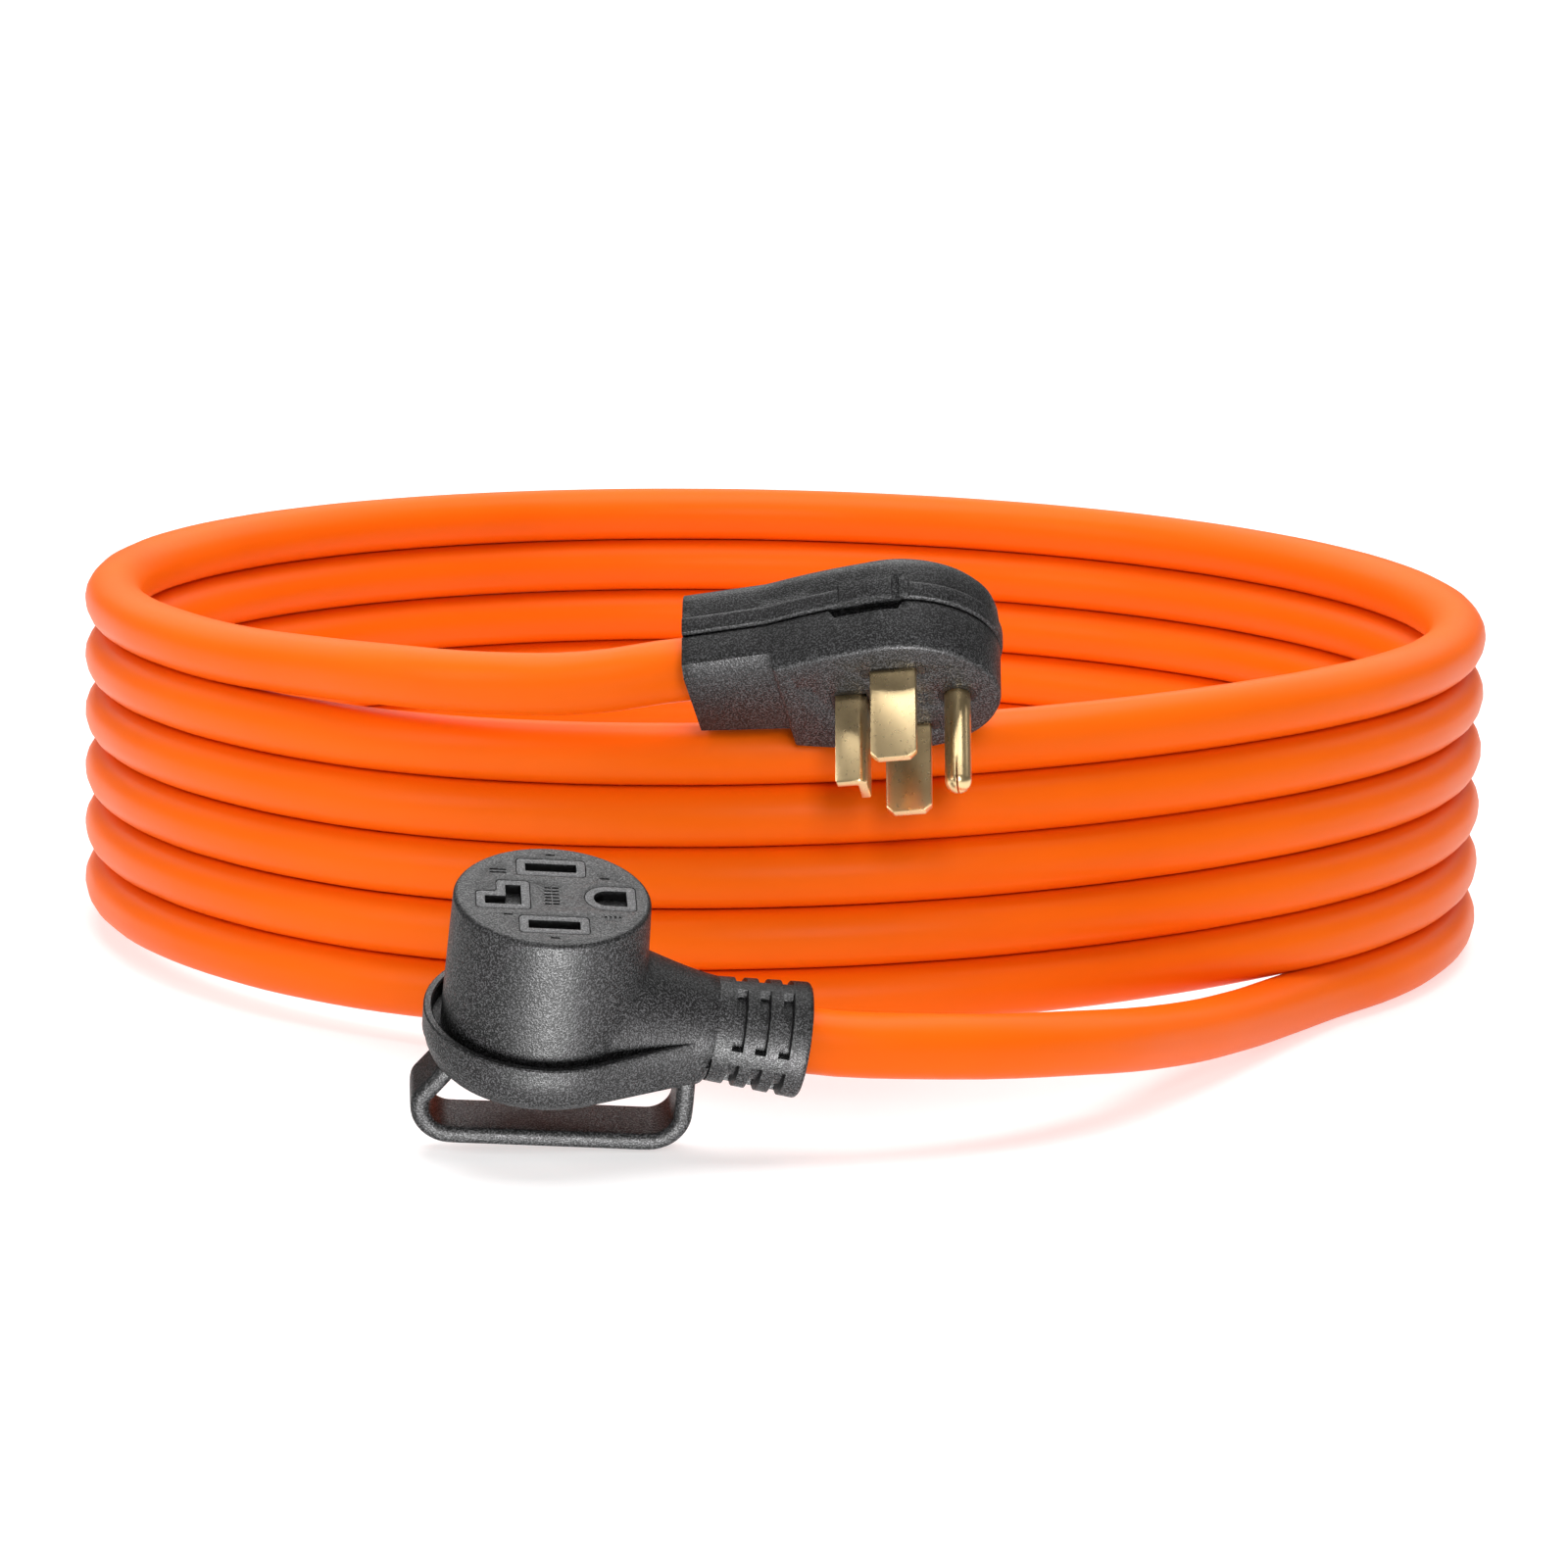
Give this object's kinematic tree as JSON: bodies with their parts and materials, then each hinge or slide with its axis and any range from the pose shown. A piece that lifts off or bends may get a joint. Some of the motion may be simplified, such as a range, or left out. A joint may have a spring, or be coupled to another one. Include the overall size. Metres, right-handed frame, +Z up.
{
  "type": "shore power cord",
  "caption": "Coiled heavy orange power cable with a black right-angle four-blade plug at one end and a black right-angle four-slot connector with a carrying grip at the other.",
  "frame": {"origin": "on the floor at the coil's axis", "axes": "+Z up along the coil's axis, -Y toward the front, where the plug and the connector lie, +X the way the connector's cord leaves"},
  "size_m": [0.421, 0.5539, 0.1464],
  "materials": {
    "orange_jacket": "satin",
    "black_plastic": "fine grain",
    "grey_plastic": "fine grain",
    "brass": "satin",
    "insulation_black": "satin",
    "insulation_red": "satin",
    "insulation_white": "satin",
    "insulation_green": "satin"
  },
  "bodies": {
    "root": {"cable_coil": "orange_jacket", "cable_top_turn": "orange_jacket", "cable_plug_tail": "orange_jacket", "cable_connector_tail": "orange_jacket", "plug_base_shell": "black_plastic", "plug_cover_shell": "black_plastic", "plug_blade_carrier": "grey_plastic", "plug_hot_blade_x": "brass", "plug_hot_blade_y": "brass", "plug_neutral_blade": "brass", "plug_ground_pin": "brass", "plug_cord_collar": "grey_plastic", "plug_jacket_end": "orange_jacket", "plug_lead_black": "insulation_black", "plug_lead_red": "insulation_red", "plug_lead_white": "insulation_white", "plug_lead_green": "insulation_green", "connector_front_shell": "black_plastic", "connector_rear_shell": "black_plastic", "connector_strain_relief": "black_plastic", "connector_grip_handle": "black_plastic", "connector_face_insert": "grey_plastic", "connector_contact_cover": "grey_plastic", "connector_contact_hot_x": "brass", "connector_contact_hot_y": "brass", "connector_contact_neutral": "brass", "connector_contact_ground": "brass", "connector_cord_collar": "grey_plastic", "connector_jacket_end": "orange_jacket", "connector_lead_black": "insulation_black", "connector_lead_red": "insulation_red", "connector_lead_white": "insulation_white", "connector_lead_green": "insulation_green"}
  },
  "joints": []
}
